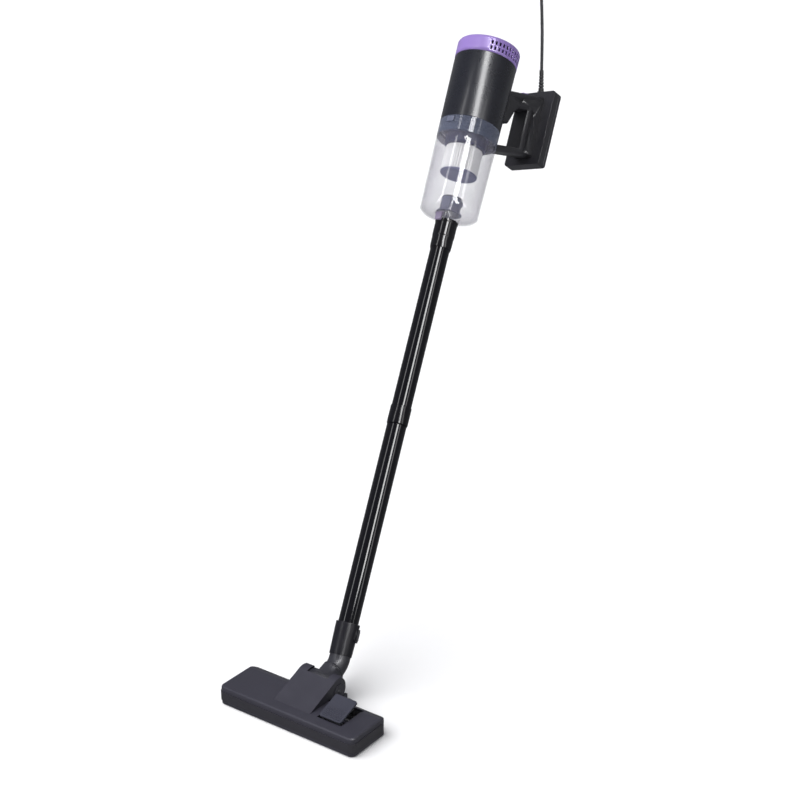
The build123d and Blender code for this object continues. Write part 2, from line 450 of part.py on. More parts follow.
cup -= Pos(tab_hinge_x, 0, TAB_Z) * Rot(90, 0, 0) * Cylinder(TAB_PIN_R + RUN, TAB_W + 4 * TAB_EAR)
save("dust_cup", cup, STICK)

# ================================================================ collar band, filter
band_r0, band_r1 = body_r(COLLAR_BAND_Z0), body_r(COLLAR_BAND_Z1)
band_in = cup_r1 - CUP_WALL - 0.3
SHELF_Z = CUP_TOP + CUP_LIP + 3.4
band = lathe([(band_in, COLLAR_BAND_Z0), (band_r0, COLLAR_BAND_Z0), (band_r1, COLLAR_BAND_Z1),
              (band_r1 - 5, COLLAR_BAND_Z1), (band_r1 - 5, SHELF_Z + 2), (HOLDER_R + 2, SHELF_Z + 2),
              (HOLDER_R + 2, SHELF_Z), (band_in, SHELF_Z)])
seal_in = cup_r1 - 2 * CUP_WALL - 0.6
seal = tube(band_in - 0.4, seal_in - 0.6, CUP_TOP + CUP_LIP + GAP, SHELF_Z - SEAT)
save("cup_seal", seal, STICK)
holder = lathe([(FILTER_R - 4, FILTER_Z1 - 3), (FILTER_R - 4, SHELF_Z + 6), (HOLDER_R + 1.4, SHELF_Z + 6),
                (HOLDER_R + 1.4, SHELF_Z - 2), (HOLDER_R + 3.4, SHELF_Z - 2), (HOLDER_R + 3.4,
                                                                               SHELF_Z - 4),
                (HOLDER_R, SHELF_Z - 6), (HOLDER_R, FILTER_Z1 + 1), (HOLDER_R - 2, FILTER_Z1 - 1),
                (FILTER_R + SEAT, FILTER_Z1 - 1), (FILTER_R + SEAT, FILTER_Z1), (FILTER_R - 2, FILTER_Z1),
                (FILTER_R - 2, FILTER_Z1 - 3)])
save("filter_holder", holder, STICK)
PLEATS, PLEAT_DEPTH = 36, 2.2
element = tube(FILTER_R, FILTER_R - 9, FILTER_Z0, FILTER_Z1 - 3 - SEAT)
for n in range(PLEATS):
    groove = Pos(FILTER_R, 0, (FILTER_Z0 + FILTER_Z1) / 2) * Box(2 * PLEAT_DEPTH, 1.6,
                                                                 FILTER_Z1 - FILTER_Z0 + 2)
    element -= Rot(0, 0, n * 360 / PLEATS) * groove
save("filter_element", element, STICK)
end_disc = lathe([(0, FILTER_Z0 - 4), (FILTER_R - 1.5, FILTER_Z0 - 4), (FILTER_R, FILTER_Z0 - 2.5),
                  (FILTER_R, FILTER_Z0 - SEAT), (0, FILTER_Z0 - SEAT)])
save("filter_end_disc", end_disc, STICK)

# cup release button in the band, opposite the handle, on its own small spring
RELEASE_W, RELEASE_H, RELEASE_TRAVEL = 14.0, 9.0, 2.0
release_z = (COLLAR_BAND_Z0 + COLLAR_BAND_Z1) / 2 + 6
release_x = -band_r1
pocket = Pos(release_x + 2, 0, release_z) * Box(8, RELEASE_W + 2 * GAP, RELEASE_H + 2 * GAP)
band -= pocket
save("collar_band", band, STICK)
release = Pos(release_x + 0.2, 0, release_z) * Box(2.4, RELEASE_W, RELEASE_H)
release = fillet(release.edges().filter_by(Axis.X), 1.6)
release += Pos(release_x + 2.2, 0, release_z) * Box(2.2, 4, 3)
save("cup_release_button", release, STICK)

# ================================================================ motor housing
HZ0, HZ1 = COLLAR_BAND_Z1 + SEAT, HOUSING_Z1
h0, h1 = body_r(HZ0), body_r(HZ1)
DECK_Z = HZ0 + 6.0
housing = lathe([(h0 - 5, HZ0), (h0 - 0.6, HZ0), (h0, HZ0 + 0.6), (h1, HZ1), (h1 - HOUSING_WALL, HZ1),
                 (h0 - HOUSING_WALL, DECK_Z + 3), (24, DECK_Z + 3), (24, DECK_Z), (h0 - 5, DECK_Z)])
save("motor_housing", housing, STICK)

# purple exhaust cap with two rows of slots round the handle side
c0, c1 = body_r(HZ1 + GAP), body_r(CAP_Z1)
CAP_T = 2.2
cap = lathe([(c0 - CAP_T, HZ1 + GAP), (c0 + 0.3, HZ1 + GAP), (c1 + 0.3, CAP_Z1 - 4), (c1 - 0.9,
                                                                                      CAP_Z1 - 1.2),
             (c1 - 3.7, CAP_Z1), (0, CAP_Z1), (0, CAP_Z1 - CAP_T), (c1 - 4.2, CAP_Z1 - CAP_T),
             (c1 - CAP_T, CAP_Z1 - 4.6)])
vents = []
count = int(VENT_SPAN // VENT_PITCH)
for z in VENT_ROWS:
    for n in range(-count, count + 1):
        vents.append(Rot(0, 0, n * VENT_PITCH) * Pos(c1 - 1, 0, z) * Box(8, VENT_W, VENT_H))
cap -= Compound(children=vents)
skirt_r = h1 - HOUSING_WALL - GAP
cap += tube(skirt_r, skirt_r - 1.6, HZ1 - 5, HZ1 + GAP + 3) + tube(c0 - 1, skirt_r - 1.6, HZ1 + GAP,
                                                                   HZ1 + GAP + 2)
save("exhaust_cap", cap, STICK)
save("exhaust_filter", rod(skirt_r - 1.6 - GAP, HZ1 - 4, HZ1 + 2), STICK)

# motor, its rubber mounts, shaft, fan and fan cover
MOTOR_R, MOTOR_Z0, MOTOR_Z1, SHAFT_R = 30.0, 935.0, 1003.0, 2.5
motor = lathe([(SHAFT_R + 3, MOTOR_Z0 + 4), (MOTOR_R, MOTOR_Z0 + 4), (MOTOR_R, MOTOR_Z1 - 8),
               (MOTOR_R - 5, MOTOR_Z1 - 4), (SHAFT_R + 3, MOTOR_Z1 - 4)])
motor += tube(SHAFT_R + 5, SHAFT_R + RUN, MOTOR_Z0 + 4, MOTOR_Z0 + 12)
motor += tube(SHAFT_R + 5, SHAFT_R + RUN, MOTOR_Z1 - 12, MOTOR_Z1 - 4)
save("motor", motor, STICK)
FAN_Z0, FAN_Z1, FAN_R = 921.0, 931.0, 36.0
save("motor_shaft", rod(SHAFT_R, FAN_Z0 + 1, MOTOR_Z1 - 2), STICK)
fan = lathe([(SHAFT_R + SEAT, FAN_Z0 + 1), (7, FAN_Z0 + 1), (8, FAN_Z1 - 1.2), (FAN_R, FAN_Z1 - 1.2),
             (FAN_R, FAN_Z1),
             (SHAFT_R + SEAT, FAN_Z1)])
for n in range(9):
    blade = Pos(22, 0, (FAN_Z0 + FAN_Z1) / 2) * Rot(0, 0, 32) * Box(26, 1.2, FAN_Z1 - FAN_Z0 - 1)
    fan += Rot(0, 0, n * 40) * blade
save("fan", fan, STICK)
cover = lathe([(14, FAN_Z0 - 2.6), (FAN_R + 4, FAN_Z0 - 2.6), (FAN_R + 4, MOTOR_Z0 + 3), (FAN_R + 2,
                                                                                          MOTOR_Z0 + 3),
               (FAN_R + 2, FAN_Z0 - 0.8), (14, FAN_Z0 - 0.8)])
save("fan_cover", cover, STICK)
plate = lathe([(SHAFT_R + 6, MOTOR_Z0), (FAN_R + 2 - SEAT, MOTOR_Z0), (FAN_R + 2 - SEAT, MOTOR_Z0 + 3),
               (SHAFT_R + 6, MOTOR_Z0 + 3)])
for n in range(8):
    plate -= Rot(0, 0, n * 45) * Pos(26, 0, MOTOR_Z0 + 1.5) * Cylinder(4, 5)
save("fan_plate", plate, STICK)
housing_in = body_r(MOTOR_Z0) - HOUSING_WALL
front_mount = tube(housing_in - 0.6, FAN_R + 4 + SEAT, DECK_Z + 3 + SEAT, MOTOR_Z0 - 8)
save("motor_mount_front", front_mount, STICK)
rear_mount = tube(body_r(MOTOR_Z1 - 30) - HOUSING_WALL - 0.6, MOTOR_R + SEAT, MOTOR_Z1 - 22, MOTOR_Z1 - 10)
for n in range(6):
    rear_mount -= Rot(0, 0, n * 60) * Pos(41, 0, MOTOR_Z1 - 16) * Cylinder(6, 14)
save("motor_mount_rear", rear_mount, STICK)

# ================================================================ handle
slope = math.tan(math.radians(ARM_SLOPE))


def arm_outline(middle, height, x0, x1):
    """Four corners of an arm that climbs as it leaves the housing; middle is at the housing's wall."""
    x_ref = body_r(middle)
    return [(x0, middle - height / 2 + (x0 - x_ref) * slope), (x1,
                                                               middle - height / 2 + (x1 - x_ref) * slope),
            (x1, middle + height / 2 + (x1 - x_ref) * slope), (x0,
                                                               middle + height / 2 + (x0 - x_ref) * slope)]


ROOT_X = 40.0
box_z0, box_z1 = BOX_Z - BOX_H / 2, BOX_Z + BOX_H / 2
upper_arm = arm_outline(ARM_Z, ARM_H, ROOT_X, BOX_X0)
lower_arm = arm_outline(LOWER_Z + 8, LOWER_H, ROOT_X, BOX_X0)
grip_bottom = lower_arm[1][1] - (BOX_X0 - GRIP_X0) * slope + 1
grip_top = upper_arm[1][1] + 4
grip = [(GRIP_X0, grip_bottom), (BOX_X0, grip_bottom + 8), (BOX_X0, grip_top), (GRIP_X0, grip_top)]
web_x = 84.0
arm_under = ARM_Z - ARM_H / 2 + (web_x - body_r(ARM_Z)) * slope
web = [(ROOT_X, ARM_Z), (web_x + 8, arm_under + 4), (web_x, arm_under - 8),
       (body_r(ARM_Z) + 22, ARM_Z - ARM_H / 2 - 22), (ROOT_X, ARM_Z - ARM_H / 2 - 38)]
half = GRIP_W / 2
body_core = lathe([(0, CUP_Z0), (body_r(CUP_Z0) + SEAT, CUP_Z0), (body_r(CAP_Z1) + SEAT, CAP_Z1), (0,
                                                                                                   CAP_Z1)])


def handle_solid(inset, width):
    """The D-shaped handle drawn in by inset all round, from its middle plane out to width."""
    parts = []
    for outline in (upper_arm, lower_arm, grip, web):
        face = make_face(Polyline(*[(x, 0, z) for x, z in outline], close=True))
        if inset:
            face = offset(face, -inset, kind=Kind.INTERSECTION)
        parts.append(extrude(face, width, dir=(0, 1, 0)))
    return parts[0] + parts[1] + parts[2] + parts[3]


outer = handle_solid(0, half)
side_edges = [e for e in outer.edges() if abs(e.center().Y - half) < 0.01 and e.center().X > body_r(CAP_Z1) - 4
              and e.center().X < BOX_X0 - 0.5]
outer = fillet(side_edges, 5.5)
cavity = handle_solid(HANDLE_WALL, half - HANDLE_WALL)
shell = outer - cavity - body_core
shell -= box(BOX_X0 - SEAT, 2 * BOX_X0, -50, 50, 0, 2 * CAP_Z1)

# power slide on top of the upper arm: its frame has +X along the arm and +Z out of it
SWITCH_X = 116.0
switch_z = ARM_Z + ARM_H / 2 + (SWITCH_X - body_r(ARM_Z)) * slope
ARM_TOP = Location((SWITCH_X, 0, switch_z), (0, -ARM_SLOPE, 0))
stem_room = ARM_TOP * Box(SWITCH_L - 4 + SWITCH_TRAVEL + 2 * GAP, 4 + 2 * GAP, 4 * HANDLE_WALL)
left, right = shell - stem_room, mirror(shell, Plane.XZ) - stem_room

# screws that hold the two handle shells together, from the right side
SCREW_R, SCREW_HEAD_R = 1.5, 3.0
screw_at = ((132.0, grip_bottom + 12), (132.0, grip_top - 18), (96.0,
                                                                ARM_Z + (96.0 - body_r(ARM_Z)) * slope))
screws = []
for x, z in screw_at:
    boss = Pos(x, 0, z) * Rot(90, 0, 0) * Cylinder(SCREW_HEAD_R + 1.6, GRIP_W - 2 * HANDLE_WALL + 1)
    bore = Pos(x, 0, z) * Rot(90, 0, 0) * Cylinder(SCREW_R + SEAT, GRIP_W - 6)
    head_bore = Pos(x, -GRIP_W / 2, z) * Rot(90, 0, 0) * Cylinder(SCREW_HEAD_R + GAP, 10)
    left += (boss & box(0, 2 * BOX_X0, 0, GRIP_W, 0, 2 * CAP_Z1)) - bore
    right += boss & box(0, 2 * BOX_X0, -GRIP_W, 0, 0, 2 * CAP_Z1)
    right -= bore + head_bore
    head_y, tip_y = 4 - GRIP_W / 2, GRIP_W / 2 - 11
    screw = Pos(x, (head_y + tip_y) / 2, z) * Rot(90, 0, 0) * Cylinder(SCREW_R, tip_y - head_y)
    screw += Pos(x, head_y, z) * Rot(90, 0, 0) * Cylinder(SCREW_HEAD_R, 2)
    screws.append(screw - Pos(x, -GRIP_W / 2 + 3, z) * Rot(90, 0, 0) * Box(3.6, 0.9, 1.4))
save("handle_left_shell", left, STICK)
save("handle_right_shell", right, STICK)
save("handle_screws", Compound(children=screws), STICK)
slide = Pos(-SWITCH_TRAVEL / 2, 0, GAP + 1.4) * Box(SWITCH_L, SWITCH_W, 2.8)
slide = fillet(slide.edges().group_by(Axis.Z)[-1], 1.0)
for n in range(3):
    slide += Pos(-SWITCH_TRAVEL / 2 + (n - 1) * 4, 0, GAP + 2.9) * Box(1.2, SWITCH_W - 3, 0.9)
slide += Pos(-SWITCH_TRAVEL / 2, 0, -2.2) * Box(SWITCH_L - 4, 4, 6)
save("power_slide", ARM_TOP * slide, STICK)
save("switch_body", ARM_TOP * Pos(0, 0, -HANDLE_WALL - 8.6) * Box(24, 13, 12), STICK)

# rear box that holds the lead's terminals: a deep front half and a flat cover
BOX_CORNER, BOX_WALL = 5.0, 2.4


def upright_slab(x0, x1, inset):
    face = Plane(origin=(x0, 0, BOX_Z), x_dir=(0, 1, 0), z_dir=(1, 0, 0)) * RectangleRounded(
        BOX_W - 2 * inset, BOX_H - 2 * inset, BOX_CORNER - min(inset, BOX_CORNER - 1))
    return extrude(face, x1 - x0)


box_mid, box_x1 = BOX_X0 + BOX_SPLIT, BOX_X0 + BOX_T
front_half = upright_slab(BOX_X0, box_mid, 0) - upright_slab(BOX_X0 + BOX_WALL, box_mid + 1, BOX_WALL)
cover_half = upright_slab(box_mid + SEAT, box_x1, 0)
cover_half = fillet(cover_half.faces().sort_by(Axis.X)[-1].edges(), 2.5)
cover_half -= upright_slab(box_mid - 1, box_x1 - BOX_WALL, BOX_WALL)
entry = Pos(RELIEF_X, 0, box_z1) * Cylinder(LEAD_R + 1, 12)
wire_way = Pos(BOX_X0, 0, BOX_Z + 30) * Rot(0, 90, 0) * Cylinder(5, 12)
save("rear_box_front", front_half - entry - wire_way, STICK)
save("rear_box_cover", cover_half, STICK)
terminals = box(BOX_X0 + BOX_WALL + SEAT, BOX_X0 + BOX_WALL + 9, -17, 17, BOX_Z + 4, BOX_Z + 18)
for n in range(3):
    terminals -= Pos(BOX_X0 + BOX_WALL + 9, (n - 1) * 10, BOX_Z + 11) * Rot(0, 90, 0) * Cylinder(2, 6)
save("terminal_block", terminals, STICK)

# ================================================================ mains lead
tip_dir = Vector(*LEAD_STEPS[1]).normalized()
relief_base = (STICK * Location((RELIEF_X, 0, box_z1))).position
RELIEF = Plane(origin=relief_base, z_dir=tip_dir).location
relief = RELIEF * (Pos(0, 0, RELIEF_L / 2 - 3) * Cone(RELIEF_R0, RELIEF_R1, RELIEF_L + 6))
RELIEF_CUTS, CUT_PITCH, CUT_W = 5, 5.2, 2.0
for n in range(RELIEF_CUTS):
    relief -= RELIEF * (Pos(0, 0, 12 + n * CUT_PITCH) * (Cylinder(8, CUT_W) - Cylinder(LEAD_R + 0.6,
                                                                                       CUT_W)))
relief += STICK * (Pos(RELIEF_X, 0, box_z1 + 1.5) * Cylinder(7.6, 3.0))
relief -= STICK * box(BOX_X0 - 20, box_x1 + 20, -40, 40, box_z1 - 40, box_z1 + SEAT)
save("strain_relief", relief)

lead_start = relief_base + tip_dir * RELIEF_L
points = [lead_start + Vector(*step) for step in LEAD_STEPS]
runs = [b - a for a, b in zip(points, points[1:])]
radii = [0.45 * min(a.length, b.length) / math.tan(math.radians(a.get_angle(b)) / 2)
         for a, b in zip(runs, runs[1:])]
print("lead radii", [round(r) for r in radii])
lead_path = FilletPolyline(*points, radius=radii)
lead = sweep(Plane(origin=points[0], z_dir=runs[0].normalized()) * Circle(LEAD_R), path=lead_path)
print("lead volume", round(lead.volume, 1), "section x length",
      round(math.pi * LEAD_R**2 * lead_path.length, 1))
save("mains_lead", lead)

# round two-pin plug at the lead's end
PIN_MAINS_R, PIN_MAINS_L, PIN_MAINS_GAP = 2.4, 19.0, 19.0
PLUG = Plane(origin=points[-1], z_dir=runs[-1].normalized()).location
plug = lathe([(0, 0), (LEAD_R + 1.4, 0), (LEAD_R + 2.2, 14), (PLUG_R - 2, 19), (PLUG_R, 21), (PLUG_R,
                                                                                              PLUG_L - 2),
              (PLUG_R - 1.5, PLUG_L), (0, PLUG_L)])
save("mains_plug", plug, PLUG)
pins = []
for side in (-1, 1):
    pin = Pos(side * PIN_MAINS_GAP / 2, 0, PLUG_L + PIN_MAINS_L / 2) * Cylinder(PIN_MAINS_R, PIN_MAINS_L)
    pins.append(fillet(pin.edges().group_by(Axis.Z)[-1], 1.2))
save("plug_pins", Compound(children=pins), PLUG)

# sole screws
sole_screws = []
for x, y in SOLE_SCREWS:
    sole_screws.append(Pos(x, y, 0.9) * Cylinder(2.6, 1.0) + Pos(x, y, 4.0) * Cylinder(1.2, 6.0))
save("sole_screws", Compound(children=sole_screws))
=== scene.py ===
"""Looks for the corded stick vacuum: its finishes, and finer meshes for the pieces that show."""

import json
import logging
import math
from dataclasses import dataclass
from enum import Enum
from typing import Sequence

import bmesh
import bpy
import numpy as np
from mathutils import Matrix, Vector


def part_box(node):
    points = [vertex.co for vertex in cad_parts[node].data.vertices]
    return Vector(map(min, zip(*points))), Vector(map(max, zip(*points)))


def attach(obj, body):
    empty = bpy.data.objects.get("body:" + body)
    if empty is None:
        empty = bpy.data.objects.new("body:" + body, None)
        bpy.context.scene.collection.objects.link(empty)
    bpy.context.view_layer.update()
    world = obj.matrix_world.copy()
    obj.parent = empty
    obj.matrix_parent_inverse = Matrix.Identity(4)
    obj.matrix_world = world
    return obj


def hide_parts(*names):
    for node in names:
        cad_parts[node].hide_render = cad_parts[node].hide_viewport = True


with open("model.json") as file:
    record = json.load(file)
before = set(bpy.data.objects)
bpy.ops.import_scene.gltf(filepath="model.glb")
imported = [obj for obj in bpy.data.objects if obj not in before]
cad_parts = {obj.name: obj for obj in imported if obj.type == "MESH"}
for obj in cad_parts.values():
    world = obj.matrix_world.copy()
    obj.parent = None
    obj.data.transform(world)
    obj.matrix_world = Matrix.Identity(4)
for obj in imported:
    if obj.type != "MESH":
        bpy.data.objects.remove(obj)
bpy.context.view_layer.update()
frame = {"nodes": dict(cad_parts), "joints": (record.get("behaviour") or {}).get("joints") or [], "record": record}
LOG = logging.getLogger("vacuum")
MM = 0.001
SLOT_OF = {row["node"]: row["material_slot"] for row in frame["record"]["subparts"]}
JOINTS = {joint["name"]: joint for joint in frame["joints"]}
BODY_OF = {node: body for body, nodes in frame["record"]["behaviour"]["bodies"].items() for node in nodes}


# ------------------------------------------------------------------------------------ finishes
class Grain(Enum):
    """How a surface breaks up at small scale."""

    POLISHED = "polished"
    SATIN = "satin"
    SPARK = "spark"
    LEATHERY = "leathery"
    BRUSHED = "brushed"
    FIBRE = "fibre"
    CELLS = "cells"


@dataclass(frozen=True)
class GrainForm:
    """The noise that makes one kind of grain: how fine, how deep and how stretched it is."""

    scale: float
    depth: float
    strength: float
    stretch: tuple[float, float, float] = (1.0, 1.0, 1.0)
    cells: bool = False


GRAIN_FORMS = {
    Grain.POLISHED: GrainForm(scale=60.0, depth=0.000004, strength=0.04),
    Grain.SATIN: GrainForm(scale=1500.0, depth=0.00003, strength=0.22),
    Grain.SPARK: GrainForm(scale=1250.0, depth=0.00009, strength=0.45),
    Grain.LEATHERY: GrainForm(scale=620.0, depth=0.00022, strength=0.7, cells=True),
    Grain.BRUSHED: GrainForm(scale=900.0, depth=0.00003, strength=0.35, stretch=(0.04, 1.0, 1.0)),
    Grain.FIBRE: GrainForm(scale=1100.0, depth=0.00015, strength=0.6, stretch=(1.0, 1.0, 0.35)),
    Grain.CELLS: GrainForm(scale=700.0, depth=0.0006, strength=0.9, cells=True),
}


@dataclass(frozen=True)
class Finish:
    """One finish: its colour, gloss and grain, and how far colour and gloss wander over the piece."""

    colour: tuple[float, float, float]
    roughness: float
    grain: Grain = Grain.SATIN
    metallic: float = 0.0
    coat: float = 0.0
    wander: float = 0.10
    gloss_wander: float = 0.06
    sheen: float = 0.0
    specular: float = 0.5
    coat_ior: float = 1.5
    face_alpha: float = 1.0
    edge_alpha: float = 1.0

    def material(self, name: str) -> bpy.types.Material:
        """Builds the node material.

        Args:
            name: the material slot's name.

        Returns:
            The new material, which reads Object coordinates only.
        """
        made = bpy.data.materials.new(name)
        made.use_nodes = True
        tree = made.node_tree
        shader = tree.nodes["Principled BSDF"]
        shader.inputs["Metallic"].default_value = self.metallic
        shader.inputs["Coat Weight"].default_value = self.coat
        shader.inputs["Coat Roughness"].default_value = 0.04
        shader.inputs["Coat IOR"].default_value = self.coat_ior
        shader.inputs["Sheen Weight"].default_value = self.sheen
        shader.inputs["Specular IOR Level"].default_value = self.specular
        place = tree.nodes.new("ShaderNodeTexCoord").outputs["Object"]
        self._colour_and_gloss(tree, shader, place)
        self._grain(tree, shader, place)
        if self.face_alpha < 1.0:
            self._see_through(tree, shader)
        return made

    def _colour_and_gloss(self, tree: bpy.types.NodeTree, shader: bpy.types.Node,
                          place: bpy.types.NodeSocket) -> None:
        """Broad cloudy noise that shifts the base colour and the roughness a little.

        Args:
            tree: the material's nodes.
            shader: its Principled node.
            place: the coordinates that the noise reads.
        """
        cloud = tree.nodes.new("ShaderNodeTexNoise")
        cloud.inputs["Scale"].default_value = 34.0
        cloud.inputs["Detail"].default_value = 6.0
        cloud.inputs["Roughness"].default_value = 0.62
        tree.links.new(place, cloud.inputs["Vector"])
        blend = tree.nodes.new("ShaderNodeMix")
        blend.data_type = "RGBA"
        blend.inputs["A"].default_value = (*[c * (1 - self.wander) for c in self.colour], 1.0)
        blend.inputs["B"].default_value = (*[min(1.0, c * (1 + self.wander)) for c in self.colour], 1.0)
        tree.links.new(cloud.outputs["Fac"], blend.inputs["Factor"])
        tree.links.new(blend.outputs["Result"], shader.inputs["Base Color"])
        gloss = tree.nodes.new("ShaderNodeMapRange")
        gloss.inputs["From Min"].default_value = 0.3
        gloss.inputs["From Max"].default_value = 0.7
        gloss.inputs["To Min"].default_value = max(0.02, self.roughness - self.gloss_wander)
        gloss.inputs["To Max"].default_value = min(1.0, self.roughness + self.gloss_wander)
        tree.links.new(cloud.outputs["Fac"], gloss.inputs["Value"])
        tree.links.new(gloss.outputs["Result"], shader.inputs["Roughness"])

    def _grain(self, tree: bpy.types.NodeTree, shader: bpy.types.Node, place: bpy.types.NodeSocket) -> None:
        """Fine noise or cells that roughen the surface through a bump.

        Args:
            tree: the material's nodes.
            shader: its Principled node.
            place: the coordinates that the grain reads.
        """
        form = GRAIN_FORMS[self.grain]
        mapping = tree.nodes.new("ShaderNodeMapping")
        mapping.inputs["Scale"].default_value = form.stretch
        tree.links.new(place, mapping.inputs["Vector"])
        source = tree.nodes.new("ShaderNodeTexVoronoi" if form.cells else "ShaderNodeTexNoise")
        source.inputs["Scale"].default_value = form.scale
        tree.links.new(mapping.outputs["Vector"], source.inputs["Vector"])
        bump = tree.nodes.new("ShaderNodeBump")
        bump.inputs["Strength"].default_value = form.strength
        bump.inputs["Distance"].default_value = form.depth
        tree.links.new(source.outputs["Distance" if form.cells else "Fac"], bump.inputs["Height"])
        tree.links.new(bump.outputs["Normal"], shader.inputs["Normal"])

    def _see_through(self, tree: bpy.types.NodeTree, shader: bpy.types.Node) -> None:
        """Clear plastic: thin where the wall faces the eye, denser where it turns away.

        Args:
            tree: the material's nodes.
            shader: its Principled node.
        """
        turn = tree.nodes.new("ShaderNodeLayerWeight")
        turn.inputs["Blend"].default_value = 0.32
        alpha = tree.nodes.new("ShaderNodeMapRange")
        alpha.inputs["To Min"].default_value = self.face_alpha
        alpha.inputs["To Max"].default_value = self.edge_alpha
        tree.links.new(turn.outputs["Facing"], alpha.inputs["Value"])
        tree.links.new(alpha.outputs["Result"], shader.inputs["Alpha"])


FINISHES = {
    "housing_black": Finish((0.010, 0.011, 0.017), 0.28, Grain.POLISHED, coat=0.10, gloss_wander=0.02),
    "handle_black": Finish((0.018, 0.018, 0.023), 0.44, Grain.SPARK),
    "box_grain": Finish((0.024, 0.023, 0.030), 0.50, Grain.LEATHERY),
    "cap_lilac": Finish((0.270, 0.180, 0.500), 0.34, Grain.SATIN, coat=0.2, wander=0.05),
    "collar_smoke": Finish((0.120, 0.135, 0.195), 0.12, Grain.POLISHED, coat=0.4, wander=0.05,
                           face_alpha=0.55, edge_alpha=0.90),
    "release_smoke": Finish((0.120, 0.130, 0.185), 0.30, Grain.SATIN),
    "cup_clear": Finish((0.330, 0.315, 0.400), 0.05, Grain.POLISHED, coat=1.0, wander=0.02, gloss_wander=0.02,
                        specular=1.0, coat_ior=2.3, face_alpha=0.10, edge_alpha=0.38),
    "inlet_smoke": Finish((0.200, 0.210, 0.290), 0.16, Grain.POLISHED, coat=0.3,
                          face_alpha=0.60, edge_alpha=0.95),
    "holder_navy": Finish((0.020, 0.027, 0.080), 0.32, Grain.SATIN),
    "filter_white": Finish((0.880, 0.880, 0.880), 0.92, Grain.FIBRE, sheen=0.25, wander=0.03),
    "filter_foam": Finish((0.060, 0.060, 0.066), 0.95, Grain.CELLS),
    "disc_blue_grey": Finish((0.120, 0.130, 0.230), 0.42, Grain.SATIN),
    "tab_mauve": Finish((0.230, 0.190, 0.290), 0.34, Grain.SATIN),
    "flap_rubber": Finish((0.080, 0.080, 0.095), 0.62, Grain.SPARK),
    "mount_rubber": Finish((0.022, 0.022, 0.024), 0.70, Grain.SPARK),
    "inner_grey": Finish((0.260, 0.260, 0.275), 0.48, Grain.SPARK),
    "inner_black": Finish((0.020, 0.020, 0.023), 0.50, Grain.SPARK),
    "motor_steel": Finish((0.480, 0.480, 0.490), 0.34, Grain.BRUSHED, metallic=1.0),
    "screw_steel": Finish((0.110, 0.110, 0.120), 0.34, Grain.BRUSHED, metallic=1.0),
    "relief_rubber": Finish((0.014, 0.014, 0.016), 0.55, Grain.SPARK, sheen=0.15),
    "lead_black": Finish((0.022, 0.022, 0.026), 0.48, Grain.SATIN, sheen=0.12),
    "plug_brass": Finish((0.620, 0.600, 0.560), 0.24, Grain.BRUSHED, metallic=1.0),
    "wand_gloss": Finish((0.002, 0.002, 0.004), 0.10, Grain.POLISHED, coat=0.1, gloss_wander=0.01,
                         specular=0.35),
    "wand_sleeve": Finish((0.003, 0.003, 0.005), 0.14, Grain.POLISHED, coat=0.1, specular=0.3),
    "connector_gloss": Finish((0.004, 0.004, 0.006), 0.15, Grain.POLISHED, coat=0.1, specular=0.4),
    "neck_black": Finish((0.008, 0.008, 0.012), 0.36, Grain.SATIN, specular=0.3),
    "elbow_grey": Finish((0.026, 0.026, 0.034), 0.42, Grain.SATIN),
    "head_black": Finish((0.030, 0.029, 0.042), 0.46, Grain.SPARK),
    "pedal_grey": Finish((0.034, 0.035, 0.052), 0.42, Grain.SPARK),
    "bumper_rubber": Finish((0.021, 0.020, 0.027), 0.58, Grain.SPARK),
    "bristle_black": Finish((0.012, 0.012, 0.014), 0.50, Grain.SATIN, sheen=0.2),
    "sole_steel": Finish((0.560, 0.560, 0.570), 0.26, Grain.BRUSHED, metallic=1.0),
    "wheel_rubber": Finish((0.020, 0.020, 0.023), 0.60, Grain.SPARK),
}
MATERIALS = {slot: finish.material(slot) for slot, finish in FINISHES.items()}


# ------------------------------------------------------------------------------------ mesh helpers
def rounded(outline: Sequence[tuple[float, float]], radius: float, steps: int = 5) -> np.ndarray:
    """Softens each corner of a closed outline with a short parabola between its two sides.

    Args:
        outline: the corners in order.
        radius: how far from a corner the softening starts; short sides limit it.
        steps: points per corner.

    Returns:
        The softened outline, one row per point.
    """
    here = np.asarray(outline, float)
    back, ahead = np.roll(here, 1, 0) - here, np.roll(here, -1, 0) - here
    back_len, ahead_len = (np.linalg.norm(side, axis=1, keepdims=True) for side in (back, ahead))
    reach = np.minimum(radius, 0.45 * np.minimum(back_len, ahead_len))
    start, end = here + back / back_len * reach, here + ahead / ahead_len * reach
    s = np.linspace(0.0, 1.0, steps)[None, :, None]
    curve = (1 - s) ** 2 * start[:, None] + 2 * s * (1 - s) * here[:, None] + s**2 * end[:, None]
    return curve.reshape(-1, 2)


def turned(outline: np.ndarray, sides: int = 96) -> np.ndarray:
    """A closed outline of (radius, height) turned about +Z: x = r cos a, y = r sin a, z = height.

    Args:
        outline: the closed outline.
        sides: steps round the axis.

    Returns:
        A grid of points, outline along the first axis and angle along the second.
    """
    angle = np.linspace(0.0, 2 * math.pi, sides, endpoint=False)
    radius, height = outline[:, 0:1], outline[:, 1:2]
    return np.stack([radius * np.cos(angle), radius * np.sin(angle), height + 0 * angle], axis=-1)


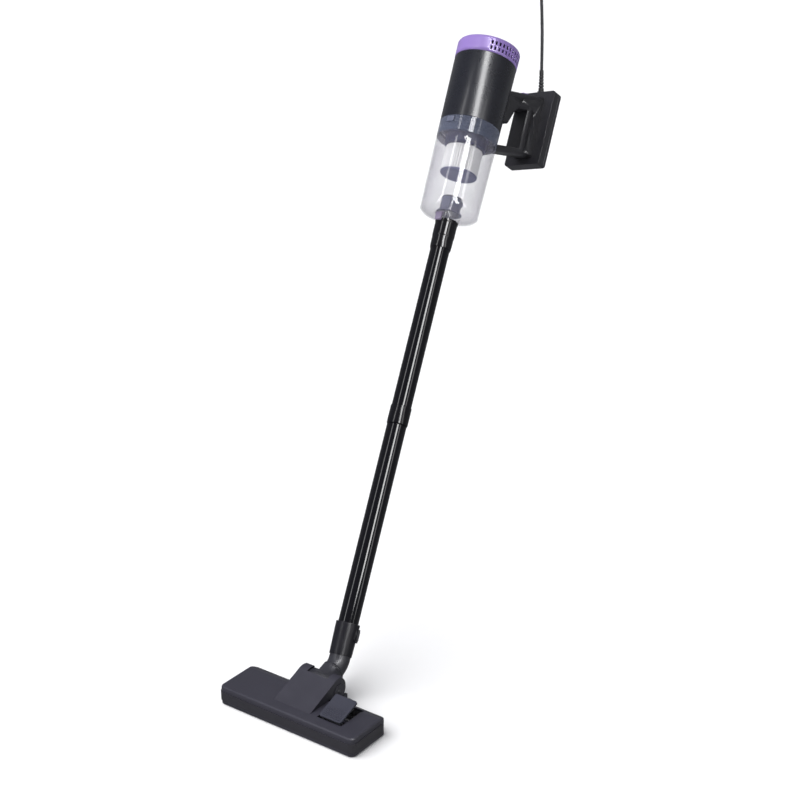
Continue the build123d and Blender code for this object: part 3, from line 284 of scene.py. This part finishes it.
def grid_object(name: str, grids: Sequence[np.ndarray]) -> bpy.types.Object:
    """One mesh from grids that close in both directions, with doubles at the poles merged.

    Args:
        name: the piece's name.
        grids: arrays of (u, v, 3) points, in metres.

    Returns:
        The new object, smooth shaded with crisp edges kept.
    """
    points, faces, first = [], [], 0
    for grid in grids:
        rows, cols = grid.shape[:2]
        index = first + np.arange(rows * cols).reshape(rows, cols)
        right, down = np.roll(index, -1, 1), np.roll(index, -1, 0)
        faces.append(np.stack([index, right, np.roll(down, -1, 1), down], axis=-1).reshape(-1, 4))
        points.append(grid.reshape(-1, 3))
        first += rows * cols
    mesh = bpy.data.meshes.new(name)
    mesh.from_pydata(np.concatenate(points), [], np.concatenate(faces))
    return finished(name, mesh)


def finished(name: str, mesh: bpy.types.Mesh, crease: float = 34.0) -> bpy.types.Object:
    """Merges doubles, turns faces outwards and shades a mesh smooth between its creases.

    Args:
        name: the piece's name.
        mesh: the mesh to finish.
        crease: edges sharper than this many degrees stay crisp.

    Returns:
        The linked object.
    """
    work = bmesh.new()
    work.from_mesh(mesh)
    bmesh.ops.remove_doubles(work, verts=work.verts, dist=2e-6)
    bmesh.ops.delete(work, geom=[edge for edge in work.edges if edge.is_wire], context="EDGES")
    bmesh.ops.recalc_face_normals(work, faces=work.faces)
    work.to_mesh(mesh)
    work.free()
    mesh.polygons.foreach_set("use_smooth", np.ones(len(mesh.polygons), bool))
    mesh.set_sharp_from_angle(angle=math.radians(crease))
    piece = bpy.data.objects.new(name, mesh)
    bpy.context.scene.collection.objects.link(piece)
    return piece


def dress(piece: bpy.types.Object, *nodes: str) -> bpy.types.Object:
    """Gives a piece the finish and body of the nodes that it stands for.

    Args:
        piece: the finer piece.
        nodes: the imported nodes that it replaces.

    Returns:
        The same piece.
    """
    slot = SLOT_OF[nodes[0]]
    piece.data.materials.clear()
    piece.data.materials.append(MATERIALS[slot])
    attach(piece, BODY_OF[nodes[0]])
    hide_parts(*nodes)
    LOG.info("%s stands for %s", piece.name, ", ".join(nodes))
    return piece


def refined(node: str, bevel: float = 0.0, crease: float = 34.0) -> bpy.types.Object:
    """A merged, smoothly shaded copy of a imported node, with its edges broken by a small bevel.

    Args:
        node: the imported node.
        bevel: the bevel's width in metres, or 0 for none.
        crease: edges sharper than this many degrees stay crisp.

    Returns:
        The dressed copy.
    """
    mesh = frame["nodes"][node].data.copy()
    work = bmesh.new()
    work.from_mesh(mesh)
    bmesh.ops.remove_doubles(work, verts=work.verts, dist=2e-6)
    if bevel:
        bmesh.ops.dissolve_limit(work, angle_limit=math.radians(0.6), verts=work.verts, edges=work.edges)
    work.to_mesh(mesh)
    work.free()
    mesh.polygons.foreach_set("use_smooth", np.ones(len(mesh.polygons), bool))
    mesh.set_sharp_from_angle(angle=math.radians(crease))
    piece = bpy.data.objects.new(f"{node}_skin", mesh)
    bpy.context.scene.collection.objects.link(piece)
    if bevel:
        edges = piece.modifiers.new("edges", "BEVEL")
        edges.width = bevel
        edges.segments = 2
        edges.limit_method = "ANGLE"
        edges.angle_limit = math.radians(crease)
        edges.harden_normals = True
    return dress(piece, node)


# ------------------------------------------------------------------------------------ local frame of the wand
class StickFrame:
    """The wand's own frame: +Z up the wand from the neck's bend, +X towards the handle."""

    FAN_HEIGHT = 0.960

    def __init__(self) -> None:
        """Reads the frame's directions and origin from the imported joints."""
        up = Vector(JOINTS["fan_spin"]["axis"]).normalized()
        out = Vector(JOINTS["cup_release_press"]["axis"]).normalized()
        origin = Vector(JOINTS["fan_spin"]["pos_m"]) - up * self.FAN_HEIGHT
        self.origin = np.array(origin)
        self.axes = np.array([out, up.cross(out), up])

    def place(self, grid_mm: np.ndarray) -> np.ndarray:
        """Carries local points in millimetres to the shared frame in metres.

        Args:
            grid_mm: points in the wand's frame, coordinates last.

        Returns:
            The same grid in the shared frame.
        """
        return self.origin + (grid_mm * MM) @ self.axes


STICK = StickFrame()


@dataclass
class TurnedPiece:
    """A piece turned about the wand's axis: an outline of (radius, height) in millimetres."""

    node: str
    outline: Sequence[tuple[float, float]]
    soft: float = 0.5
    sides: int = 96

    def build(self) -> bpy.types.Object:
        """Builds and dresses the piece, and returns it."""
        grid = STICK.place(turned(rounded(self.outline, self.soft), self.sides))
        return dress(grid_object(f"{self.node}_skin", [grid]), self.node)


# ------------------------------------------------------------------------------------ mains lead
@dataclass
class MainsLead:
    """The lead above its strain relief, pulled straight up to its plug, with the plug and relief."""

    start: tuple[float, float, float] = (-0.09902, 0.81207, 0.85988)
    steps: tuple = ((0.0, 0.0, 0.0), (-0.0006, 0.0003, 0.044), (-0.0024, 0.0002, 0.088),
                    (-0.0052, -0.0006, 0.132), (-0.0082, -0.0009, 0.168))
    radius: float = 0.0027
    length: float = 0.168
    plug_r: float = 14.0
    plug_l: float = 38.0
    plug_ribs: int = 14

    def route(self) -> np.ndarray:
        """The route's points in metres."""
        return np.array(self.start) + np.array(self.steps)

    def build(self) -> None:
        route = self.route()
        curve = bpy.data.curves.new("mains_lead_line", "CURVE")
        curve.dimensions = "3D"
        spline = curve.splines.new("NURBS")
        spline.points.add(len(route) - 1)
        spline.points.foreach_set("co", np.c_[route, np.ones(len(route))].ravel())
        spline.order_u = 3
        spline.use_endpoint_u = True
        spline.resolution_u = 24
        curve.bevel_depth = self.radius
        curve.bevel_resolution = 8
        curve.use_fill_caps = True
        lead = bpy.data.objects.new("mains_lead_line", curve)
        bpy.context.scene.collection.objects.link(lead)
        dress(lead, "mains_lead")
        plug, relief = self.plug(route), refined("strain_relief", crease=30.0)
        pins = refined("plug_pins", crease=30.0)

    def plug(self, route: np.ndarray) -> bpy.types.Object:
        """The moulded plug: r = outline(u), swelled by a cosine round the waist for its finger ribs.

        Args:
            route: the lead's points.

        Returns:
            The dressed plug.
        """
        neck = self.radius / MM
        outline = rounded([(0.0, 0.0), (neck + 1.4, 0.0), (neck + 2.2, 14.0), (self.plug_r - 2, 19.0),
                           (self.plug_r, 21.0), (self.plug_r, self.plug_l - 2),
                           (self.plug_r - 1.5, self.plug_l), (0.0, self.plug_l)], 1.2, 7)
        grid = turned(outline, 8 * self.plug_ribs)
        angle = np.linspace(0.0, 2 * math.pi, grid.shape[1], endpoint=False)
        height = grid[..., 2]
        fade_in = np.clip((height - 20.0) / 4.0, 0.0, 1.0)
        fade_out = np.clip((self.plug_l - 4.0 - height) / 3.0, 0.0, 1.0)
        body = fade_in * fade_out
        outside = np.hypot(grid[..., 0], grid[..., 1]) > neck + 1.0
        swell = 1.0 - 0.035 * body * outside * (0.5 + 0.5 * np.cos(self.plug_ribs * angle))
        grid[..., 0] *= swell
        grid[..., 1] *= swell
        along = route[-1] - route[-2]
        turn = Vector((0.0, 0.0, 1.0)).rotation_difference(Vector(along)).to_matrix()
        grid = route[-1] + (grid * MM) @ np.array(turn).T
        return dress(grid_object("mains_plug_skin", [grid]), "mains_plug")


# ------------------------------------------------------------------------------------ wand and neck
@dataclass
class Wand:
    """Two enamelled tubes, their joint sleeve and the connector below the cup."""

    tube_r: float = 16.0
    wall: float = 1.0
    fit: float = 0.08
    seat: float = 0.05
    gap: float = 0.4
    socket: float = 40.0
    foot: float = 25.4
    joint: float = 387.0
    sleeve_l: float = 30.0
    sleeve_wall: float = 1.1
    connector: tuple[float, float] = (688.0, 737.0)
    connector_r: float = 18.4
    spigot_r: float = 16.2

    def build(self) -> None:
        """Builds the four pieces."""
        r, bore, spigot = self.tube_r, self.tube_r - self.wall, self.tube_r - self.wall - self.fit
        low, high = self.connector
        stop = low + self.socket / 2
        sleeve_r = r + self.sleeve_wall
        TurnedPiece("wand_lower_tube", [
            (bore, self.foot), (r, self.foot), (r, self.joint - 1), (spigot, self.joint),
            (spigot, self.joint + self.socket), (spigot - self.wall, self.joint + self.socket),
            (spigot - self.wall, self.joint - 3), (bore, self.joint - 3)], 0.25).build()
        TurnedPiece("wand_upper_tube", [(bore, self.joint + self.gap), (r, self.joint + self.gap),
                                        (r, stop), (bore, stop)], 0.25).build()
        TurnedPiece("wand_joint_sleeve", [
            (r + self.seat, self.joint + self.gap), (sleeve_r, self.joint + self.gap),
            (sleeve_r, self.joint + self.sleeve_l), (r + self.seat, self.joint + self.sleeve_l)], 0.9).build()
        TurnedPiece("wand_connector", [
            (r + self.seat, low), (r + 1.2, low),
            (self.connector_r - 0.6, low + 9), (self.connector_r - 0.6, stop),
            (self.connector_r, stop + 1.5), (self.connector_r, high - 5), (self.connector_r + 0.7, high - 4),
            (self.connector_r + 0.7, high),
            (self.spigot_r + self.fit, high), (self.spigot_r + self.fit, stop + 2),
            (bore, stop + 2), (bore, stop + self.gap), (r + self.seat, stop + self.gap)], 0.45).build()


class Neck:
    """The collar over the wand's foot, the elbow, the catch button and the pitching barrel."""

    def build(self) -> None:
        """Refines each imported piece."""
        refined("neck_collar", crease=30.0)
        refined("neck_elbow", crease=30.0)
        refined("neck_button", bevel=0.0004)
        refined("pitch_barrel", crease=32.0)


# ------------------------------------------------------------------------------------ handheld
@dataclass
class Barrel:
    """The handheld's tapered barrel: housing, cap, band, clear cup and what is inside the cup."""

    cup_z: float = 748.0
    cap_z: float = 1051.0
    r_low: float = 48.5
    r_high: float = 53.3
    band: tuple[float, float] = (879.0, 905.0)
    housing_top: float = 1022.0
    cup_wall: float = 1.8
    housing_wall: float = 2.4
    gap: float = 0.4
    seat: float = 0.05
    inlet_r: float = 17.2
    inlet_wall: float = 1.4
    inlet_top: float = 776.0
    filter_r: float = 31.0
    filter_z: tuple[float, float] = (822.0, 868.0)
    filter_core: float = 9.0
    pleats: int = 44
    pleat_depth: float = 2.4
    holder_r: float = 35.0
    lip: float = 9.0

    def radius(self, z: float) -> float:
        """Outer radius of the barrel at height z."""
        return self.r_low + (self.r_high - self.r_low) * (z - self.cup_z) / (self.cap_z - self.cup_z)

    def build(self) -> None:
        """Builds the pieces that show."""
        self.housing()
        self.inlet()
        self.filter_parts()
        refined("dust_cup", crease=28.0)
        refined("exhaust_cap", crease=40.0)
        refined("collar_band", crease=30.0)
        refined("cup_release_button", bevel=0.0004)
        refined("wand_release_tab", crease=30.0)
        refined("inlet_flap", crease=30.0)
        refined("flap_bracket", bevel=0.0003)

    def housing(self) -> None:
        """The motor housing: a tapered shell with a soft lip and an inner deck."""
        foot, top = self.band[1] + self.seat, self.housing_top
        low, high, deck = self.radius(foot), self.radius(top), foot + 6.0
        TurnedPiece("motor_housing", [
            (low - 5, foot), (low - 0.4, foot), (low, foot + 0.6), (high, top),
            (high - self.housing_wall, top), (low - self.housing_wall, deck + 3),
            (24.0, deck + 3), (24.0, deck), (low - 5, deck)], 0.5, 160).build()

    def inlet(self) -> None:
        """The short pipe that stands in the cup's floor."""
        floor, r, top = self.cup_z + 2 + self.seat, self.inlet_r, self.inlet_top
        TurnedPiece("inlet_pipe", [
            (r - self.inlet_wall, floor), (r + 4, floor), (r + 4, floor + 2), (r, floor + 3), (r, top),
            (r - self.inlet_wall, top)], 0.6).build()

    def filter_parts(self) -> None:
        """The pleated filter, its navy holder and the disc that closes it.

        The pleats are a triangle wave round the outer wall: r = R - depth * |saw(pleats * angle)|.
        """
        low, high = self.filter_z
        r, shelf = self.filter_r, self.band[0] - self.gap + self.lip + 3.4
        TurnedPiece("filter_holder", [
            (r - 4, high - 3), (r - 4, shelf + 6), (self.holder_r + 1.4, shelf + 6),
            (self.holder_r + 1.4, shelf - 2),
            (self.holder_r + 3.4, shelf - 2), (self.holder_r + 3.4, shelf - 4),
            (self.holder_r, shelf - 6), (self.holder_r, high + 1), (self.holder_r - 2, high - 1),
            (r + self.seat, high - 1), (r + self.seat, high),
            (r - 2, high), (r - 2, high - 3)], 0.6, 128).build()
        TurnedPiece("filter_end_disc", [
            (0.0, low - 4), (r - 1.5, low - 4), (r, low - 2.5), (r, low - self.seat), (0.0, low - self.seat)],
            0.8, 128).build()
        sides = 12 * self.pleats
        outline = np.array([(r, low), (r, low + 1.2), (r, high - 4.2), (r, high - 3 - self.seat),
                            (r - self.filter_core, high - 3 - self.seat), (r - self.filter_core, low)])
        grid = turned(outline, sides)
        turn = np.linspace(0.0, self.pleats, sides, endpoint=False) % 1.0
        wave = self.pleat_depth * (1.0 - np.abs(2.0 * turn - 1.0))
        outer = (outline[:, 0] > r - 0.1)[:, None]
        shrink = 1.0 - outer * wave[None, :] / r
        grid[..., 0] *= shrink
        grid[..., 1] *= shrink
        dress(grid_object("filter_element_skin", [STICK.place(grid)]), "filter_element")


@dataclass
class Handle:
    """The D-shaped handle, its rear box, the power slide and the shell screws."""

    box_x: tuple[float, float] = (151.0, 172.5)
    split: float = 165.0
    seat: float = 0.05
    box_z: float = 977.0
    box_w: float = 74.0
    box_h: float = 139.0
    corner: float = 5.0
    wall: float = 2.4
    rim: float = 2.5
    arc: int = 9

    def build(self) -> None:
        """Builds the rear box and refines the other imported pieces."""
        for node in ("handle_left_shell", "handle_right_shell", "power_slide", "handle_screws"):
            refined(node, crease=30.0)
        near, far = self.box_x
        self.tray("rear_box_front", near, self.split, 0.6)
        self.tray("rear_box_cover", far, self.split + self.seat, self.rim)

    def tray(self, node: str, face: float, mouth: float, rim: float) -> None:
        """An open tray: a profile of (inset, x) carried round a rounded rectangle.

        Each row's rectangle is the outer one shrunk by the inset, and its corner radius shrinks
        with it. Past half the width the rectangle is a line, which closes the floor of the tray.

        Args:
            node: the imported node.
            face: x of the closed face.
            mouth: x of the open edge.
            rim: how softly the closed face turns into the sides.
        """
        inner = face + math.copysign(self.wall, mouth - face)
        over = self.box_w
        profile = rounded([(over, face), (0.0, face), (0.0, mouth), (self.wall, mouth), (self.wall, inner),
                           (over, inner)], rim, 7)
        inset = np.minimum(profile[:, 0:1], self.box_w / 2)
        half_w, half_h = self.box_w / 2 - inset, self.box_h / 2 - inset
        radius = np.minimum(np.maximum(self.corner - inset, 0.3), half_w)
        quarter = np.linspace(0.0, math.pi / 2, self.arc)
        angle = (quarter[None] + np.arange(4)[:, None] * math.pi / 2).ravel()
        side_w, side_h = (np.repeat(signs, self.arc) for signs in ([1, -1, -1, 1], [1, 1, -1, -1]))
        y = side_w * (half_w - radius) + radius * np.cos(angle)
        z = side_h * (half_h - radius) + radius * np.sin(angle)
        x = profile[:, 1:2] + 0 * angle
        dress(grid_object(f"{node}_skin", [STICK.place(np.stack([x, y, self.box_z + z], axis=-1))]), node)


# ------------------------------------------------------------------------------------ floor head
@dataclass
class FloorHead:
    """The floor head: shells, hood, pedal, bumper, bristles and wheels."""

    bristle_pitch: float = 0.0036
    bristles_per_tuft: int = 14
    row_half: float = 0.0016
    tuft_r: float = 0.0011
    bristle_r: float = 0.00013
    splay: float = 0.0006
    wheel_ribs: int = 36
    wheel_bore: float = 1.83

    def build(self) -> None:
        """Builds the pieces."""
        for node in ("head_upper_shell", "head_lower_shell", "head_hood"):
            refined(node, crease=30.0)
        refined("bumper_strip", crease=30.0)
        refined("pedal", bevel=0.00025)
        refined("sole_plate", bevel=0.0002)
        refined("wheel_axles", crease=30.0)
        self.bristles()
        for name in ("wheel_left", "wheel_right"):
            self.wheel(name)

    def bristles(self) -> None:
        """Two rows of tufts. Each bristle is a four-sided taper; a tuft's bristles stand on a
        sunflower spiral, and each leans out from the tuft's middle in proportion to its distance."""
        low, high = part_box("brush_strips")
        length = high.x - low.x
        tufts = int(length / self.bristle_pitch)
        x = low.x + length * (np.arange(tufts) + 0.5) / tufts
        y = np.array([low.y + self.row_half, high.y - self.row_half])
        n = np.arange(self.bristles_per_tuft)
        spiral = self.tuft_r * np.sqrt((n + 0.5) / len(n))
        golden = n * math.pi * (3 - math.sqrt(5))
        offset = np.stack([spiral * np.cos(golden), spiral * np.sin(golden)], axis=-1)
        centre = np.stack(np.meshgrid(x, y, indexing="ij"), axis=-1).reshape(-1, 1, 2)
        root = (centre + offset).reshape(-1, 2)
        lean = np.broadcast_to(offset / self.tuft_r * self.splay, (len(centre), len(n), 2)).reshape(-1, 2)
        lean = np.clip(root + lean, [low.x, low.y], [high.x, high.y])
        corner = self.bristle_r * np.array([(1, 0), (0, 1), (-1, 0), (0, -1)])
        top = np.concatenate([root[:, None] + corner, np.full((len(root), 4, 1), high.z)], axis=-1)
        tip = np.concatenate([lean[:, None] + 0.6 * corner, np.full((len(root), 4, 1), low.z)], axis=-1)
        points = np.concatenate([tip, top], axis=1).reshape(-1, 3)
        shape = np.array([(0, 1, 5, 4), (1, 2, 6, 5), (2, 3, 7, 6), (3, 0, 4, 7), (3, 2, 1, 0), (4, 5, 6, 7)])
        faces = (shape[None] + 8 * np.arange(len(root))[:, None, None]).reshape(-1, 4)
        mesh = bpy.data.meshes.new("brush_strips_skin")
        mesh.from_pydata(points, [], faces)
        piece = bpy.data.objects.new("brush_strips_skin", mesh)
        bpy.context.scene.collection.objects.link(piece)
        dress(piece, "brush_strips")

    def wheel(self, node: str) -> None:
        """A tyre turned about X, with a shallow rib wave round its tread.

        Args:
            node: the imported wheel.
        """
        low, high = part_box(node)
        middle, half = (low + high) / 2, (high.x - low.x) / 2 / MM
        r, bore = (high.z - low.z) / 2 / MM, self.wheel_bore
        outline = rounded([(bore, -half), (r - 2.4, -half), (r - 1.2, -half + 0.3), (r, -half + 1.3),
                           (r, half - 1.3), (r - 1.2, half - 0.3), (r - 2.4, half), (bore, half)], 0.5)
        grid = turned(outline, 6 * self.wheel_ribs)
        angle = np.linspace(0.0, 2 * math.pi, grid.shape[1], endpoint=False)
        tread = (outline[:, 0] > r - 0.3)[:, None] * (0.5 - 0.5 * np.cos(self.wheel_ribs * angle))
        shrink = 1.0 - 0.03 * tread
        turned_x = np.stack([grid[..., 2], grid[..., 0] * shrink, grid[..., 1] * shrink], axis=-1)
        dress(grid_object(f"{node}_skin", [np.array(middle) + turned_x * MM]), node)


# ------------------------------------------------------------------------------------ stage
@dataclass
class Studio:
    """Camera, pale floor and soft lights."""

    camera_at: tuple[float, float, float] = (1.27795, -1.51024, 1.25575)
    right: tuple[float, float, float] = (0.8097, 0.5868, 0.0)
    back: tuple[float, float, float] = (0.5492, -0.7577, 0.3525)
    lens: float = 68.25
    sensor: float = 36.0
    floor_half: float = 30.0
    floor_drop: float = 0.0004
    wall_r: float = 28.0
    wall_h: float = 40.0
    wall_sides: int = 96

    def build(self) -> None:
        """Sets the camera first, then the floor and lights."""
        self.camera()
        self.floor()
        self.wall()
        self.lights()

    def camera(self) -> None:
        """A camera from its position and its right and back directions."""
        right, back = Vector(self.right).normalized(), Vector(self.back).normalized()
        up = back.cross(right)
        turn = Matrix((right, up, back)).transposed().to_4x4()
        data = bpy.data.cameras.new("view")
        data.lens = self.lens
        data.sensor_width = self.sensor
        data.clip_end = 200.0
        camera = bpy.data.objects.new("view", data)
        camera.matrix_world = Matrix.Translation(self.camera_at) @ turn
        bpy.context.scene.collection.objects.link(camera)
        bpy.context.scene.camera = camera

    def floor(self) -> None:
        """A wide pale floor with a faint cloudy tone."""
        side = self.floor_half
        corners = np.array([(-side, -side), (side, -side), (side, side), (-side, side)])
        mesh = bpy.data.meshes.new("floor")
        mesh.from_pydata(np.c_[corners, np.full(4, -self.floor_drop)], [], [(0, 1, 2, 3)])
        floor = bpy.data.objects.new("floor", mesh)
        bpy.context.scene.collection.objects.link(floor)
        paper = Finish((0.90, 0.90, 0.91), 0.75, wander=0.01, specular=0.2)
        mesh.materials.append(paper.material("floor"))
        floor.visible_glossy = False

    def wall(self) -> None:
        """A far round backdrop that only the eye sees: x = R cos a, y = R sin a at two heights."""
        angle = np.linspace(0.0, 2 * math.pi, self.wall_sides, endpoint=False)
        ring = self.wall_r * np.stack([np.cos(angle), np.sin(angle)], axis=-1)
        points = np.concatenate([np.c_[ring, np.full(self.wall_sides, z)] for z in (-0.01, self.wall_h)])
        here = np.arange(self.wall_sides)
        ahead = np.roll(here, -1)
        faces = np.stack([ahead, here, here + self.wall_sides, ahead + self.wall_sides], axis=-1)
        mesh = bpy.data.meshes.new("backdrop")
        mesh.from_pydata(points, [], faces)
        wall = bpy.data.objects.new("backdrop", mesh)
        bpy.context.scene.collection.objects.link(wall)
        paper = Finish((0.90, 0.90, 0.91), 0.8, wander=0.01, specular=0.1).material("backdrop")
        shader = paper.node_tree.nodes["Principled BSDF"]
        shader.inputs["Emission Color"].default_value = (1.0, 1.0, 1.0, 1.0)
        shader.inputs["Emission Strength"].default_value = 0.9
        mesh.materials.append(paper)
        wall.visible_glossy = wall.visible_diffuse = wall.visible_shadow = False

    def lights(self) -> None:
        """A dim sky, a wide soft sun that lights matt surfaces, and tall strips that only mirror."""
        scene = bpy.context.scene
        scene.view_settings.view_transform = "Standard"
        scene.world = bpy.data.worlds.new("sky")
        scene.world.use_nodes = True
        sky = scene.world.node_tree.nodes["Background"]
        sky.inputs["Color"].default_value = (0.95, 0.96, 1.0, 1.0)
        sky.inputs["Strength"].default_value = 0.25
        sun = bpy.data.lights.new("soft_sun", "SUN")
        sun.energy = 3.7
        sun.angle = math.radians(70)
        self.aim(sun, (-2.0, -3.0, 6.0), (0.0, 0.0, 0.0)).visible_glossy = False
        self.box("left_strip", (-0.90, -1.90, 2.3), (-0.05, 0.5, 0.8), (0.40, 3.0), 22.0)
        self.box("front_strip", (1.40, -0.45, 2.45), (-0.05, 0.5, 0.8), (0.62, 3.2), 120.0)
        self.box("right_strip", (3.0, 0.3, 1.6), (-0.05, 0.5, 0.8), (0.5, 2.6), 16.0)

    def box(self, name: str, at: tuple, target: tuple, size: tuple[float, float], watts: float) -> None:
        """A rectangular soft light.

        Args:
            name: the light's name.
            at: where it stands.
            target: the point that it faces.
            size: its width and height in metres.
            watts: its power.
        """
        light = bpy.data.lights.new(name, "AREA")
        light.shape = "RECTANGLE"
        light.size, light.size_y = size
        light.energy = watts
        self.aim(light, at, target).visible_diffuse = False

    def aim(self, light: bpy.types.Light, at: tuple, target: tuple) -> bpy.types.Object:
        """Links a light at a point, facing a target, with its own Y kept upright.

        Args:
            light: the light.
            at: where it stands.
            target: the point that it faces.

        Returns:
            The lamp.
        """
        lamp = bpy.data.objects.new(light.name, light)
        lamp.location = at
        lamp.rotation_euler = (Vector(target) - Vector(at)).to_track_quat("-Z", "Y").to_euler()
        bpy.context.scene.collection.objects.link(lamp)
        return lamp


def dress_packed() -> None:
    """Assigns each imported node's own finish to its material slots."""
    for node, packed in frame["nodes"].items():
        packed.data.materials.clear()
        packed.data.materials.append(MATERIALS[SLOT_OF[node]])
        LOG.info("%s has finish %s", node, SLOT_OF[node])


def main() -> None:
    """Builds the camera and lead first, then each sub-assembly."""
    logging.basicConfig(level=logging.INFO, format="%(name)s: %(message)s")
    dress_packed()
    Studio().build()
    for assembly in (MainsLead(), Wand(), Neck(), Barrel(), Handle(), FloorHead()):
        assembly.build()


if __name__ == "__main__":
    main()
